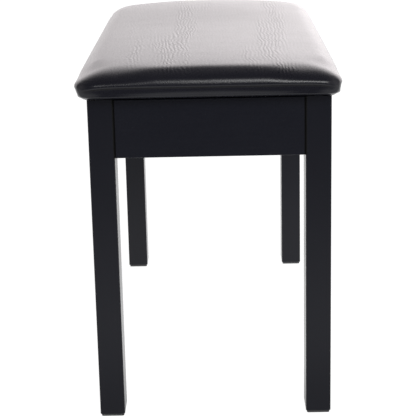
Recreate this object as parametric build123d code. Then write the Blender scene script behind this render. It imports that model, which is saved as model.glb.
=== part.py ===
from build123d import *
import os
from math import atan2, cos, radians, sin, sqrt

# A padded two-player piano bench with a storage box under a hinged lid.
# X runs along the bench, Y across it, Z up. The origin is on the floor under the middle of the seat.
# The lid is hinged along the +Y side. All sizes are in millimetres.

# Overall sizes
SEAT_LENGTH = 762.0
SEAT_WIDTH = 356.0
SEAT_HEIGHT = 500.0
SEAT_OVERHANG = 14.0          # seat past the legs, on every side
FRAME_TOP = 458.0             # top of the legs and aprons

# Legs and glides
LEG_DEPTH = 47.0              # along the bench
LEG_WIDTH = 35.0              # across the bench
LEG_EDGE = 2.0                # rounding of the long edges
LEG_FLAT = 9.0                # flat cut off the inner corner, where the corner block bears
GLIDE_THICK = 3.0
GLIDE_INSET = 1.5             # glide edge inside the leg edge
GLIDE_CORNER = 3.0
NAIL_RADIUS = 1.2
NAIL_HEAD_RADIUS = 3.5
NAIL_HEAD_THICK = 0.8
NAIL_RECESS = 1.2             # head above the floor
NAIL_LENGTH = 18.0

# Aprons and the box floor
APRON_HEIGHT = 80.5
APRON_THICK = 15.0
APRON_RECESS = 1.0            # apron face behind the leg face
APRON_EDGE = 1.2
PANEL_THICK = 4.0
PANEL_RISE = 8.0              # panel underside above the apron's lower edge
GROOVE_DEPTH = 6.0
GROOVE_PLAY = 0.2
PANEL_PLAY = 0.5              # panel edge short of the groove's end and of the legs
DOWEL_RADIUS = 4.0
DOWEL_REACH = 20.0            # into the leg, and as far into the apron
DOWEL_FIT = 0.05
DOWEL_RISES = (26.0, 64.0)    # above the apron's lower edge

# Corner blocks and their fasteners
BLOCK_THICK = 18.0
BLOCK_HEIGHT = 56.0
BLOCK_LIFT = 2.0              # above the box floor
BOLT_RADIUS = 3.0
BOLT_PLAY = 0.3
BOLT_HEAD_FLATS = 10.0
BOLT_HEAD_THICK = 4.0
BOLT_MARGIN = 14.0            # bolt axis from the block's top and bottom
BOLT_BITE = 11.0              # into the threaded insert
WASHER_RADIUS = 6.5
WASHER_THICK = 1.5
INSERT_RADIUS = 5.0
INSERT_LENGTH = 13.0
THREAD_FIT = 0.05

# Wood screws
SCREW_RADIUS = 1.9
SCREW_HEAD_RADIUS = 3.4
SCREW_HEAD_THICK = 1.7
SCREW_SLOT_WIDTH = 0.9
SCREW_SLOT_DEPTH = 0.8
BLOCK_SCREW_LENGTH = 20.0
BLOCK_SCREW_BITE = 10.0       # into the apron
BLOCK_SCREW_SET = 66.0        # from the bench's outer corner
BLOCK_SCREW_MARGIN = 20.0     # from the block's top and bottom, between the dowels
POCKET_RADIUS = 4.5
HARDWARE_SCREW_LENGTH = 12.0

# Lid
BOARD_THICK = 15.0
LID_GAP = 1.8                 # frame top to the cover's underside
COVER_THICK = 1.2
COVER_FIT = 0.1
COVER_RETURN = 52.0           # cover turned in under the board
SEAT_CORNER = 24.0            # plan radius of the seat's corners
SEAT_TOP_EDGE = 20.0
SEAT_LOW_EDGE = 12.0
FOAM_EDGE = 12.0              # foam wrapped round the board's edge
BOARD_LOW_EDGE = 1.2
DUST_THICK = 0.5
DUST_LAP = 12.0               # dust cover over the cover's raw edge
BUMPER_RADIUS = 5.0
BUMPER_STEM_RADIUS = 2.5
BUMPER_STEM_LENGTH = 8.0
BUMPER_PLAY = 0.3
BUMPER_SPACING = 540.0

# Staples
STAPLE_CROWN = 10.0
STAPLE_WIRE = 0.7
STAPLE_LEG = 8.0
STAPLE_PITCH = 46.0
COVER_STAPLE_SET = 18.0       # from the cover's raw edge
DUST_STAPLE_SET = 6.0

# Hinges
HINGE_SPACING = 460.0
HINGE_LENGTH = 60.0
HINGE_KNUCKLES = 5
KNUCKLE_RADIUS = 2.5
KNUCKLE_PLAY = 0.3            # between knuckles, and from a knuckle to what it passes
LEAF_THICK = 1.2
LEAF_REACH = 8.2              # leaf past the apron's inner face
PIN_RADIUS = 1.25
PIN_PRESS = 0.02
PIN_RUNNING = 0.06
PIN_HEAD_RADIUS = 2.0
PIN_HEAD_THICK = 0.7
LEAF_SCREW_EDGE = 4.0         # screw axis from the leaf's free edge
LEAF_SCREW_PITCH = 21.0

# Lid stays: two links that make a parallelogram with the hinge axis
LID_OPENING = 85.0            # degrees
STAY_BOX_DROP = 30.0          # box pivot below the hinge axis
STAY_LID_DROP = 8.0           # lid pivot below the hinge axis
STAY_REAR_CLEAR = 3.75        # box bracket to the rear corner block
STAY_FRONT_CLEAR = 18.0       # shut link to the front corner block
STAY_WIDTH = 14.0
STAY_THICK = 2.0
STAY_GAP = 0.4                # between plates
RIVET_RADIUS = 3.0
RIVET_HEAD_RADIUS = 5.0
RIVET_HEAD_THICK = 1.4
RIVET_PRESS = 0.03
RIVET_RUNNING = 0.08
RIVET_END_PLAY = 0.3
BOX_BRACKET_WIDTH = 28.0
BOX_BRACKET_DROP = 23.0       # plate below its pivot
BOX_BRACKET_RISE = 17.0
BOX_SCREW_DROP = 17.0
BOX_SCREW_PITCH = 16.0
STOP_RADIUS = 2.0
STOP_REACH = 12.0             # stop stud from the pivot, along the opened link
STOP_PLAY = 0.3
LID_BRACKET_WIDTH = 28.0
LID_BRACKET_REACH = 17.6      # flange under the lid
LID_BRACKET_EYE = 8.0         # radius of the plate round its pivot
LID_SCREW_EDGE = 5.0
LID_SCREW_PITCH = 18.0
FITTING_TRIM = 1.0            # dust cover cut back round hinge leaves and flanges

# Worked out from the sizes above
HALF_LENGTH = SEAT_LENGTH / 2 - SEAT_OVERHANG
HALF_WIDTH = SEAT_WIDTH / 2 - SEAT_OVERHANG
APRON_BOTTOM = FRAME_TOP - APRON_HEIGHT
END_OUTER = HALF_LENGTH - APRON_RECESS
END_INNER = END_OUTER - APRON_THICK
SIDE_OUTER = HALF_WIDTH - APRON_RECESS
SIDE_INNER = SIDE_OUTER - APRON_THICK
PANEL_BOTTOM = APRON_BOTTOM + PANEL_RISE
PANEL_TOP = PANEL_BOTTOM + PANEL_THICK
BLOCK_BOTTOM = PANEL_TOP + BLOCK_LIFT
BLOCK_TOP = BLOCK_BOTTOM + BLOCK_HEIGHT
FLAT_SUM = LEG_DEPTH + LEG_WIDTH - LEG_FLAT          # u + v on the leg's inner flat
BLOCK_SUM = FLAT_SUM + BLOCK_THICK * sqrt(2)         # u + v on the block's front
COVER_BOTTOM = FRAME_TOP + LID_GAP
BOARD_BOTTOM = COVER_BOTTOM + COVER_THICK
BOARD_TOP = BOARD_BOTTOM + BOARD_THICK
RETURN_X = SEAT_LENGTH / 2 - COVER_RETURN            # raw edge of the cover
RETURN_Y = SEAT_WIDTH / 2 - COVER_RETURN
AXIS_Y = SIDE_OUTER + KNUCKLE_RADIUS + KNUCKLE_PLAY
AXIS_Z = COVER_BOTTOM - KNUCKLE_RADIUS - KNUCKLE_PLAY
LEAF_WIDTH = AXIS_Y - SIDE_INNER + LEAF_REACH
HINGE_CENTRES = (-HINGE_SPACING / 2, HINGE_SPACING / 2)
KNUCKLE_PITCH = (HINGE_LENGTH + KNUCKLE_PLAY) / HINGE_KNUCKLES
KNUCKLE_LENGTH = KNUCKLE_PITCH - KNUCKLE_PLAY
BLOCK_END_Y = HALF_WIDTH - (BLOCK_SUM - APRON_RECESS - APRON_THICK)   # where the block meets the end apron
BOX_PIVOT_FORWARD = AXIS_Y - BLOCK_END_Y + BOX_BRACKET_WIDTH / 2 + STAY_REAR_CLEAR
KNUCKLE_FORWARD = AXIS_Y + BLOCK_END_Y - STAY_WIDTH / 2 - STAY_FRONT_CLEAR
STAY_BOX_PIVOT = (BOX_PIVOT_FORWARD, -STAY_BOX_DROP)     # forward of the hinge axis, above it
STAY_LID_PIVOT = (KNUCKLE_FORWARD - BOX_PIVOT_FORWARD, -STAY_LID_DROP)
OUTER_PLATE = END_INNER - STAY_THICK                 # inboard face of the box bracket
LOWER_LINK_FACE = OUTER_PLATE - STAY_GAP
UPPER_LINK_FACE = LOWER_LINK_FACE - STAY_THICK - STAY_GAP
CORNERS = ((-1, -1, "front_left"), (1, -1, "front_right"), (-1, 1, "rear_left"), (1, 1, "rear_right"))


def block(x0, x1, y0, y1, z0, z1):
    """A plain box between two opposite corners."""
    return Pos((x0 + x1) / 2, (y0 + y1) / 2, (z0 + z1) / 2) * Box(x1 - x0, y1 - y0, z1 - z0)


def rod(radius, start, end):
    """A round bar from one point to another."""
    start, end = Vector(*start), Vector(*end)
    bar = Cylinder(radius, (end - start).length, align=(Align.CENTER, Align.CENTER, Align.MIN))
    return Plane(origin=start, z_dir=end - start) * bar


def rounded_slab(length, width, corner, z0, z1):
    """A slab with rounded plan corners, centred on the origin."""
    return Pos(0, 0, z0) * extrude(RectangleRounded(length, width, corner), z1 - z0)


def corner_point(u, v, z):
    """A point measured inwards from the outer corner of the frame at +X +Y."""
    return (HALF_LENGTH - u, HALF_WIDTH - v, z)


def at_corner(piece, side_x, side_y):
    """Moves a piece made in the +X +Y corner to another corner."""
    if side_x < 0:
        piece = mirror(piece, about=Plane.YZ)
    if side_y < 0:
        piece = mirror(piece, about=Plane.XZ)
    return piece


def along(point, direction, distance):
    """A point moved along a direction."""
    return tuple(p + d * distance for p, d in zip(point, direction))


def screw(seat, direction, length):
    """A pan-head wood screw: its head stands on the seat, and its shank goes along direction."""
    head_end = along(seat, direction, -SCREW_HEAD_THICK)
    body = rod(SCREW_HEAD_RADIUS, head_end, seat) + rod(SCREW_RADIUS, seat, along(seat, direction, length))
    slot_floor = along(head_end, direction, SCREW_SLOT_DEPTH / 2)
    frame = Plane(origin=slot_floor, z_dir=direction)
    reach = SCREW_HEAD_RADIUS * 1.1
    cross = Box(reach, SCREW_SLOT_WIDTH, SCREW_SLOT_DEPTH) + Box(SCREW_SLOT_WIDTH, reach, SCREW_SLOT_DEPTH)
    return body - frame * cross


def shank(seat, direction, length):
    """The hole that a screw's shank fills."""
    return rod(SCREW_RADIUS, along(seat, direction, -LEAF_THICK * 4), along(seat, direction, length))


# Joinery inside one corner of the frame

def dowel_ends(rise):
    """Both dowels at one height: one into the end apron, one into the long apron."""
    z = APRON_BOTTOM + rise
    x, y = END_OUTER - APRON_THICK / 2, SIDE_OUTER - APRON_THICK / 2
    leg_x, leg_y = HALF_LENGTH - LEG_DEPTH, HALF_WIDTH - LEG_WIDTH
    return (((x, leg_y - DOWEL_REACH, z), (x, leg_y + DOWEL_REACH, z)),
            ((leg_x - DOWEL_REACH, y, z), (leg_x + DOWEL_REACH, y, z)))


def corner_dowels(play=0.0):
    return [rod(DOWEL_RADIUS + play, *ends) for rise in DOWEL_RISES for ends in dowel_ends(rise)]


def bolt_lines():
    """Centre of each bolt on the leg's inner flat."""
    u, v = LEG_DEPTH - LEG_FLAT / 2, LEG_WIDTH - LEG_FLAT / 2
    return [corner_point(u, v, z) for z in (BLOCK_BOTTOM + BOLT_MARGIN, BLOCK_TOP - BOLT_MARGIN)]


OUTWARD = (1 / sqrt(2), 1 / sqrt(2), 0.0)            # from the box towards the +X +Y corner


def corner_bolt(flat):
    """A hex-head bolt through the block into the leg's insert."""
    seat = along(flat, OUTWARD, -BLOCK_THICK - WASHER_THICK)
    shaft = rod(BOLT_RADIUS, seat, along(flat, OUTWARD, BOLT_BITE))
    head = extrude(RegularPolygon(BOLT_HEAD_FLATS / 2, 6, major_radius=False), BOLT_HEAD_THICK)
    return shaft + Plane(origin=along(seat, OUTWARD, -BOLT_HEAD_THICK), z_dir=OUTWARD) * head


def corner_washer(flat):
    seat = along(flat, OUTWARD, -BLOCK_THICK)
    outer = rod(WASHER_RADIUS, along(seat, OUTWARD, -WASHER_THICK), seat)
    return outer - rod(BOLT_RADIUS + BOLT_PLAY, along(seat, OUTWARD, -2 * WASHER_THICK), flat)


def leg_insert(flat):
    """The threaded insert sunk in the leg's flat."""
    end = along(flat, OUTWARD, INSERT_LENGTH)
    bore = rod(BOLT_RADIUS + THREAD_FIT, along(flat, OUTWARD, -1), along(end, OUTWARD, 1))
    return rod(INSERT_RADIUS, flat, end) - bore


def block_screw_seats():
    """Seat and direction of the four screws that hold one corner block to its two aprons."""
    floor = APRON_RECESS + APRON_THICK + BLOCK_SCREW_LENGTH - BLOCK_SCREW_BITE
    seats = []
    for z in (BLOCK_BOTTOM + BLOCK_SCREW_MARGIN, BLOCK_TOP - BLOCK_SCREW_MARGIN):
        seats.append((corner_point(floor, BLOCK_SCREW_SET, z), (1.0, 0.0, 0.0)))
        seats.append((corner_point(BLOCK_SCREW_SET, floor, z), (0.0, 1.0, 0.0)))
    return seats


def corner_prism(points, z0, z1):
    """A prism on a plan outline given as distances from the frame's outer corner."""
    outline = make_face(Polyline([corner_point(u, v, z0) for u, v in points], close=True))
    return extrude(outline, z1 - z0, dir=(0, 0, 1))


def corner_block():
    """A bracing block across the corner, screwed to both aprons and bolted to the leg."""
    inner = APRON_RECESS + APRON_THICK
    outline = ((FLAT_SUM - inner, inner), (BLOCK_SUM - inner, inner),
               (inner, BLOCK_SUM - inner), (inner, FLAT_SUM - inner))
    body = corner_prism(outline, BLOCK_BOTTOM, BLOCK_TOP)
    for flat in bolt_lines():
        body -= rod(BOLT_RADIUS + BOLT_PLAY, along(flat, OUTWARD, -2 * BLOCK_THICK), flat)
    for seat, direction in block_screw_seats():
        body -= rod(SCREW_RADIUS, seat, along(seat, direction, BLOCK_SCREW_LENGTH))
        body -= rod(POCKET_RADIUS, along(seat, direction, -2 * BLOCK_THICK), seat)
    return body


def glide_nail(play=0.0):
    """The nail that holds a glide, with its head sunk above the floor."""
    x, y = HALF_LENGTH - LEG_DEPTH / 2, HALF_WIDTH - LEG_WIDTH / 2
    head_top = NAIL_RECESS + NAIL_HEAD_THICK
    head = rod(NAIL_HEAD_RADIUS + play, (x, y, NAIL_RECESS), (x, y, head_top))
    return head + rod(NAIL_RADIUS, (x, y, NAIL_RECESS), (x, y, head_top + NAIL_LENGTH))


def foot_glide():
    x, y = HALF_LENGTH - LEG_DEPTH / 2, HALF_WIDTH - LEG_WIDTH / 2
    outline = RectangleRounded(LEG_DEPTH - 2 * GLIDE_INSET, LEG_WIDTH - 2 * GLIDE_INSET, GLIDE_CORNER)
    pad = Pos(x, y, 0) * extrude(outline, GLIDE_THICK)
    well = rod(NAIL_HEAD_RADIUS, (x, y, -1), (x, y, NAIL_RECESS + NAIL_HEAD_THICK))
    return pad - well - glide_nail()


def leg():
    """One square-edged leg, with its inner flat, dowel holes, insert holes and nail hole."""
    inner_x, inner_y = HALF_LENGTH - LEG_DEPTH, HALF_WIDTH - LEG_WIDTH
    post = block(inner_x, HALF_LENGTH, inner_y, HALF_WIDTH, GLIDE_THICK, FRAME_TOP)
    post = fillet(post.edges().filter_by(Axis.Z), LEG_EDGE)
    post = chamfer(post.faces().sort_by(Axis.Z)[0].edges(), LEG_EDGE / 2)
    past = 1.0
    outline = ((FLAT_SUM - LEG_WIDTH - past, LEG_WIDTH + past), (LEG_DEPTH + past, LEG_WIDTH + past),
               (LEG_DEPTH + past, FLAT_SUM - LEG_DEPTH - past))
    post -= corner_prism(outline, BLOCK_BOTTOM, FRAME_TOP + past)
    for hole in corner_dowels(DOWEL_FIT):
        post -= hole
    for flat in bolt_lines():
        post -= rod(INSERT_RADIUS, along(flat, OUTWARD, -past), along(flat, OUTWARD, INSERT_LENGTH))
    return post - glide_nail()


# Aprons and box floor

def groove():
    """The groove round the inside of the aprons that holds the box floor."""
    top = PANEL_TOP + GROOVE_PLAY
    reach_x, reach_y = END_INNER + GROOVE_DEPTH, SIDE_INNER + GROOVE_DEPTH
    return block(-reach_x, reach_x, -reach_y, reach_y, PANEL_BOTTOM, top)


def end_apron():
    """The apron at the +X end, with its ends eased where they meet the legs."""
    half = HALF_WIDTH - LEG_WIDTH
    board = block(END_INNER, END_OUTER, -half, half, APRON_BOTTOM, FRAME_TOP)
    outer_edges = board.faces().sort_by(Axis.X)[-1].edges()
    board = fillet(outer_edges, APRON_EDGE) - groove()
    for sign in (-1, 1):
        for hole in corner_dowels(DOWEL_FIT):
            board -= at_corner(hole, 1, sign)
        for seat, direction in block_screw_seats():
            board -= at_corner(rod(SCREW_RADIUS, seat, along(seat, direction, BLOCK_SCREW_LENGTH)), 1, sign)
    for seat in box_screw_seats():
        board -= shank(seat, (1.0, 0.0, 0.0), HARDWARE_SCREW_LENGTH)
    return board


def long_apron():
    """The apron on the +Y side, before the hinges or bumpers are let in."""
    half = HALF_LENGTH - LEG_DEPTH
    board = block(-half, half, SIDE_INNER, SIDE_OUTER, APRON_BOTTOM, FRAME_TOP)
    outer_edges = board.faces().sort_by(Axis.Y)[-1].edges()
    board = fillet(outer_edges, APRON_EDGE) - groove()
    for sign in (-1, 1):
        for hole in corner_dowels(DOWEL_FIT):
            board -= at_corner(hole, sign, 1)
        for seat, direction in block_screw_seats():
            board -= at_corner(rod(SCREW_RADIUS, seat, along(seat, direction, BLOCK_SCREW_LENGTH)), sign, 1)
    return board


def bottom_panel():
    """The thin floor of the box, notched round the legs."""
    reach_x = END_INNER + GROOVE_DEPTH - PANEL_PLAY
    reach_y = SIDE_INNER + GROOVE_DEPTH - PANEL_PLAY
    sheet = block(-reach_x, reach_x, -reach_y, reach_y, PANEL_BOTTOM, PANEL_TOP)
    notch_x, notch_y = HALF_LENGTH - LEG_DEPTH - PANEL_PLAY, HALF_WIDTH - LEG_WIDTH - PANEL_PLAY
    notch = block(notch_x, HALF_LENGTH, notch_y, HALF_WIDTH, PANEL_BOTTOM - 1, PANEL_TOP + 1)
    for side_x, side_y, _ in CORNERS:
        sheet -= at_corner(notch, side_x, side_y)
    return sheet


def lid_bumper(x):
    """A rubber button let into the top of the front apron."""
    y = -(SIDE_INNER + SIDE_OUTER) / 2
    disc = rod(BUMPER_RADIUS, (x, y, FRAME_TOP), (x, y, COVER_BOTTOM - BUMPER_PLAY))
    return disc + rod(BUMPER_STEM_RADIUS, (x, y, FRAME_TOP - BUMPER_STEM_LENGTH), (x, y, FRAME_TOP))


# Lid

def lid_form(inset, z0, z1, low_edge, top_edge):
    """The rounded outline of the seat, drawn in by inset."""
    form = rounded_slab(SEAT_LENGTH - 2 * inset, SEAT_WIDTH - 2 * inset, SEAT_CORNER - inset, z0, z1)
    if top_edge:
        form = fillet(form.faces().sort_by(Axis.Z)[-1].edges(), top_edge)
    if low_edge:
        form = fillet(form.faces().sort_by(Axis.Z)[0].edges(), low_edge)
    return form


def seat_cover():
    """The vinyl skin: over the foam, down the edge and turned in under the board."""
    outer = lid_form(0, COVER_BOTTOM, SEAT_HEIGHT, SEAT_LOW_EDGE, SEAT_TOP_EDGE)
    inner = lid_form(COVER_THICK, BOARD_BOTTOM, SEAT_HEIGHT - COVER_THICK,
                     SEAT_LOW_EDGE - COVER_THICK, SEAT_TOP_EDGE - COVER_THICK)
    opening = block(-RETURN_X, RETURN_X, -RETURN_Y, RETURN_Y, COVER_BOTTOM - 1, BOARD_BOTTOM + 1)
    return outer - inner - opening


def lid_board(low_edge=BOARD_LOW_EDGE):
    return lid_form(COVER_THICK + COVER_FIT + FOAM_EDGE, BOARD_BOTTOM, BOARD_TOP, low_edge, 0)


def foam_pad():
    """Foam over the board and wrapped down round its edge."""
    inset = COVER_THICK + COVER_FIT
    pad = lid_form(inset, BOARD_BOTTOM, SEAT_HEIGHT - inset, SEAT_LOW_EDGE - inset, SEAT_TOP_EDGE - inset)
    return pad - lid_board(low_edge=0)


def dust_cover():
    """Thin cloth over the middle of the underside, stepping down over the cover's raw edge."""
    lap_x, lap_y = RETURN_X + DUST_LAP, RETURN_Y + DUST_LAP
    low = COVER_BOTTOM - DUST_THICK
    lap = block(-lap_x, lap_x, -lap_y, lap_y, low, COVER_BOTTOM)
    tray = block(-RETURN_X, RETURN_X, -RETURN_Y, RETURN_Y, low, BOARD_BOTTOM)
    inner_x, inner_y = RETURN_X - DUST_THICK, RETURN_Y - DUST_THICK
    cloth = lap + tray - block(-inner_x, inner_x, -inner_y, inner_y, low - 1, BOARD_BOTTOM - DUST_THICK)
    for x0, x1, y0, y1 in fitting_areas(FITTING_TRIM):
        cloth -= block(x0, x1, y0, y1, low - 1, BOARD_BOTTOM + 1)
    return cloth


def staple(x, y, along_x, crown_z):
    """A staple driven up into the board, its crown lying on the underside."""
    half, wire = STAPLE_CROWN / 2, STAPLE_WIRE / 2
    crown = Box(STAPLE_CROWN, STAPLE_WIRE, STAPLE_WIRE)
    body = Pos(0, 0, -wire) * crown
    for sign in (-1, 1):
        body += Pos(sign * (half - wire), 0, STAPLE_LEG / 2) * Box(STAPLE_WIRE, STAPLE_WIRE, STAPLE_LEG)
    turn = 0 if along_x else 90
    return Pos(x, y, crown_z) * Rot(0, 0, turn) * body


def staple_row(reach_x, reach_y, crown_z, clear_of):
    """Evenly spaced staples round a rectangle, leaving out those that metal fittings cover."""
    row = []
    for run, across, along_x in ((reach_x, reach_y, True), (reach_y, reach_x, False)):
        count = int(2 * (run - STAPLE_CROWN) // STAPLE_PITCH)
        pitch = 2 * (run - STAPLE_CROWN) / count
        for number in range(count + 1):
            place = -run + STAPLE_CROWN + number * pitch
            for side in (-across, across):
                x, y = (place, side) if along_x else (side, place)
                if not any(x0 < x < x1 and y0 < y < y1 for x0, x1, y0, y1 in clear_of):
                    row.append(staple(x, y, along_x, crown_z))
    return row


def fitting_areas(room):
    """Plan areas under the lid that hinge leaves and stay brackets cover, with room round them."""
    areas = []
    for x in HINGE_CENTRES:
        half = HINGE_LENGTH / 2 + room
        areas.append((x - half, x + half, AXIS_Y - LEAF_WIDTH - room, AXIS_Y + room))
    y, _ = hinge_frame(STAY_LID_PIVOT)
    half = LID_BRACKET_WIDTH / 2 + room
    for sign in (-1, 1):
        ends = sorted((sign * (LOWER_LINK_FACE - LID_BRACKET_REACH - room), sign * (LOWER_LINK_FACE + room)))
        areas.append((*ends, y - half, y + half))
    return areas


# Hinges

def knuckles(centre, first):
    """Barrel sections of one leaf: every second one, from the first or the second."""
    sections = []
    for number in range(first, HINGE_KNUCKLES, 2):
        start = centre - HINGE_LENGTH / 2 + number * KNUCKLE_PITCH
        sections.append((start, start + KNUCKLE_LENGTH))
    return sections


def hinge_leaf(centre, first, on_lid):
    """One leaf with its barrel sections, cleared round the other leaf's sections."""
    x0, x1 = centre - HINGE_LENGTH / 2, centre + HINGE_LENGTH / 2
    seat = KNUCKLE_RADIUS + KNUCKLE_PLAY
    if on_lid:
        leaf = block(x0, x1, AXIS_Y - LEAF_WIDTH, AXIS_Y, AXIS_Z + seat - LEAF_THICK, AXIS_Z + seat)
        seats, direction = lid_leaf_seats(centre), (0.0, 0.0, 1.0)
    else:
        leaf = block(x0, x1, AXIS_Y - seat, AXIS_Y - seat + LEAF_THICK, AXIS_Z - LEAF_WIDTH, AXIS_Z)
        seats, direction = frame_leaf_seats(centre), (0.0, -1.0, 0.0)
    for a, b in knuckles(centre, 1 - first):
        a, b = a - KNUCKLE_PLAY, b + KNUCKLE_PLAY
        leaf -= block(a, b, AXIS_Y - seat, AXIS_Y + seat, AXIS_Z - seat, AXIS_Z + seat)
    bore = PIN_RADIUS + (PIN_RUNNING if on_lid else PIN_PRESS)
    for a, b in knuckles(centre, first):
        leaf += rod(KNUCKLE_RADIUS, (a, AXIS_Y, AXIS_Z), (b, AXIS_Y, AXIS_Z))
    leaf -= rod(bore, (x0 - 1, AXIS_Y, AXIS_Z), (x1 + 1, AXIS_Y, AXIS_Z))
    for point in seats:
        leaf -= rod(SCREW_RADIUS, along(point, direction, -1), along(point, direction, LEAF_THICK + 1))
    return leaf


def lid_leaf_seats(centre):
    y = AXIS_Y - LEAF_WIDTH + LEAF_SCREW_EDGE
    return [(centre + step * LEAF_SCREW_PITCH, y, COVER_BOTTOM - LEAF_THICK) for step in (-1, 0, 1)]


def frame_leaf_seats(centre):
    z = AXIS_Z - LEAF_WIDTH + LEAF_SCREW_EDGE
    return [(centre + step * LEAF_SCREW_PITCH, SIDE_OUTER + LEAF_THICK, z) for step in (-1, 0, 1)]


def hinge_pin(centre):
    x0, x1 = centre - HINGE_LENGTH / 2, centre + HINGE_LENGTH / 2
    pin = rod(PIN_RADIUS, (x0, AXIS_Y, AXIS_Z), (x1, AXIS_Y, AXIS_Z))
    for end, out in ((x0, -PIN_HEAD_THICK), (x1, PIN_HEAD_THICK)):
        pin += rod(PIN_HEAD_RADIUS, (end, AXIS_Y, AXIS_Z), (end + out, AXIS_Y, AXIS_Z))
    return pin


# Stays, made at the +X end

def hinge_frame(point):
    """Y and Z of a point given forward of the hinge axis and above it."""
    forward, above = point
    return AXIS_Y - forward, AXIS_Z + above


def stay_points():
    """The box pivot, the lid pivot and the knuckle, with the lid shut."""
    knuckle = (STAY_BOX_PIVOT[0] + STAY_LID_PIVOT[0], STAY_BOX_PIVOT[1] + STAY_LID_PIVOT[1])
    return hinge_frame(STAY_BOX_PIVOT), hinge_frame(STAY_LID_PIVOT), hinge_frame(knuckle)


def plate_link(start, end, face, start_bore, end_bore):
    """A flat link with round ends, lying just inboard of a face."""
    x0, x1 = face - STAY_THICK, face
    run = Vector(0, end[0] - start[0], end[1] - start[1]).normalized()
    side = Vector(0, -run.Z, run.Y) * (STAY_WIDTH / 2)
    a, b = Vector(x0, *start), Vector(x0, *end)
    outline = make_face(Polyline([a + side, b + side, b - side, a - side], close=True))
    bar = extrude(outline, STAY_THICK, dir=(1, 0, 0))
    for point in (start, end):
        bar += rod(STAY_WIDTH / 2, (x0, *point), (x1, *point))
    for point, bore in ((start, start_bore), (end, end_bore)):
        bar -= rod(bore, (x0 - 1, *point), (x1 + 1, *point))
    return bar


def rivet(point, outer_end, inner_end, outer_head):
    """A rivet along X; its inboard head leaves the plates room to turn."""
    body = rod(RIVET_RADIUS, (inner_end - RIVET_END_PLAY, *point), (outer_end, *point))
    head = inner_end - RIVET_END_PLAY
    body += rod(RIVET_HEAD_RADIUS, (head - RIVET_HEAD_THICK, *point), (head, *point))
    if outer_head:
        body += rod(RIVET_HEAD_RADIUS, (outer_end, *point), (outer_end + RIVET_HEAD_THICK, *point))
    return body


def box_screw_seats():
    (y, z), _, _ = stay_points()
    return [(OUTER_PLATE, y + step * BOX_SCREW_PITCH / 2, z - BOX_SCREW_DROP) for step in (-1, 1)]


def box_bracket():
    """The plate on the end apron, with the stud that stops the opened link."""
    (y, z), _, _ = stay_points()
    half = BOX_BRACKET_WIDTH / 2
    plate = block(OUTER_PLATE, END_INNER, y - half, y + half, z - BOX_BRACKET_DROP, z + BOX_BRACKET_RISE)
    plate = fillet(plate.edges().filter_by(Axis.X), LEG_EDGE)
    plate -= rod(RIVET_RADIUS + RIVET_PRESS, (OUTER_PLATE - 1, y, z), (END_INNER + 1, y, z))
    for seat in box_screw_seats():
        plate -= shank(seat, (1.0, 0.0, 0.0), HARDWARE_SCREW_LENGTH)
    opened = atan2(STAY_LID_PIVOT[1], STAY_LID_PIVOT[0]) + radians(LID_OPENING)
    offset = STAY_WIDTH / 2 + STOP_RADIUS + STOP_PLAY
    forward = STOP_REACH * cos(opened) - offset * sin(opened)
    above = STOP_REACH * sin(opened) + offset * cos(opened)
    stud = (y - forward, z + above)
    return plate + rod(STOP_RADIUS, (LOWER_LINK_FACE - STAY_THICK, *stud), (END_INNER, *stud))


def lid_screw_seats():
    _, (y, _), _ = stay_points()
    x = LOWER_LINK_FACE - LID_BRACKET_REACH + LID_SCREW_EDGE
    return [(x, y + step * LID_SCREW_PITCH / 2, COVER_BOTTOM - STAY_THICK) for step in (-1, 1)]


def lid_bracket():
    """An angle plate under the lid that carries the upper link."""
    _, (y, z), _ = stay_points()
    half = LID_BRACKET_WIDTH / 2
    inner, flange_end = LOWER_LINK_FACE - STAY_THICK, LOWER_LINK_FACE - LID_BRACKET_REACH
    flange = block(flange_end, LOWER_LINK_FACE, y - half, y + half, COVER_BOTTOM - STAY_THICK, COVER_BOTTOM)
    ear = block(inner, LOWER_LINK_FACE, y - LID_BRACKET_EYE, y + LID_BRACKET_EYE, z, COVER_BOTTOM)
    ear += rod(LID_BRACKET_EYE, (inner, y, z), (LOWER_LINK_FACE, y, z))
    body = flange + ear - rod(RIVET_RADIUS + RIVET_PRESS, (inner - 1, y, z), (LOWER_LINK_FACE + 1, y, z))
    for seat in lid_screw_seats():
        body -= shank(seat, (0.0, 0.0, 1.0), HARDWARE_SCREW_LENGTH)
    return body


def stay_pieces():
    box_pivot, lid_pivot, knuckle = stay_points()
    loose, tight = RIVET_RADIUS + RIVET_RUNNING, RIVET_RADIUS + RIVET_PRESS
    lower_inner, upper_inner = LOWER_LINK_FACE - STAY_THICK, UPPER_LINK_FACE - STAY_THICK
    return {
        "stay_lower_link": plate_link(box_pivot, knuckle, LOWER_LINK_FACE, loose, tight),
        "stay_upper_link": plate_link(lid_pivot, knuckle, UPPER_LINK_FACE, loose, loose),
        "stay_knuckle_rivet": rivet(knuckle, LOWER_LINK_FACE, upper_inner, True),
        "stay_box_rivet": rivet(box_pivot, END_INNER, lower_inner, False),
        "stay_lid_rivet": rivet(lid_pivot, LOWER_LINK_FACE, upper_inner, True),
    }


# Assembly: one STEP file for each node

nodes = {}
for side_x, side_y, name in CORNERS:
    nodes["leg_" + name] = [at_corner(leg(), side_x, side_y)]

nodes["apron_right"] = [end_apron()]
nodes["apron_left"] = [at_corner(end_apron(), -1, 1)]
rear, front = long_apron(), at_corner(long_apron(), 1, -1)
for centre in HINGE_CENTRES:
    for point in frame_leaf_seats(centre):
        rear -= shank(point, (0.0, -1.0, 0.0), HARDWARE_SCREW_LENGTH)
bumpers = [lid_bumper(x) for x in (-BUMPER_SPACING / 2, BUMPER_SPACING / 2)]
for bumper in bumpers:
    front -= bumper
nodes["apron_rear"] = [rear]
nodes["apron_front"] = [front]
nodes["bottom_panel"] = [bottom_panel()]


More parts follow.
